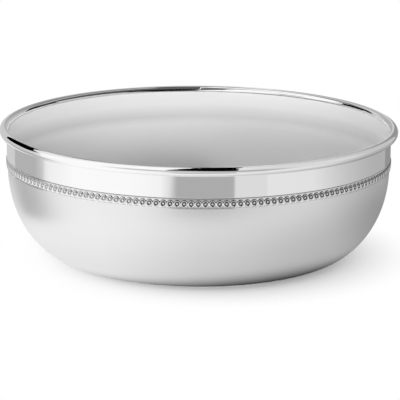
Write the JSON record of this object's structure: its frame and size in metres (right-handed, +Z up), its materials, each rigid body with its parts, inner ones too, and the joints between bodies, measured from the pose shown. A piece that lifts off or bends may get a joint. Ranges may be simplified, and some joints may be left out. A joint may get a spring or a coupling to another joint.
{
  "type": "bowl",
  "caption": "Round silver-plated bowl with a flat base, rounded satin body, polished collar, narrow ring-and-dot band and round wire rim, for serving food or for display.",
  "frame": {"origin": "middle of the flat base, on the surface that the bowl stands on", "axes": "+Z up along the axis of the bowl, X and Y level"},
  "size_m": [0.13, 0.13, 0.0435],
  "materials": {
    "body_silver": "silver plate, satin below the band and inside, mirror polish on the collar",
    "rim_silver": "silver plate, mirror polish",
    "strip_silver": "silver plate, polished on the raised rings and darkened in the grooves",
    "fillet_silver": "silver plate, polished"
  },
  "bodies": {
    "root": {"bowl_body": "body_silver", "rim_wire": "rim_silver", "ring_strip": "strip_silver", "upper_fillet": "fillet_silver", "lower_fillet": "fillet_silver"}
  },
  "joints": []
}
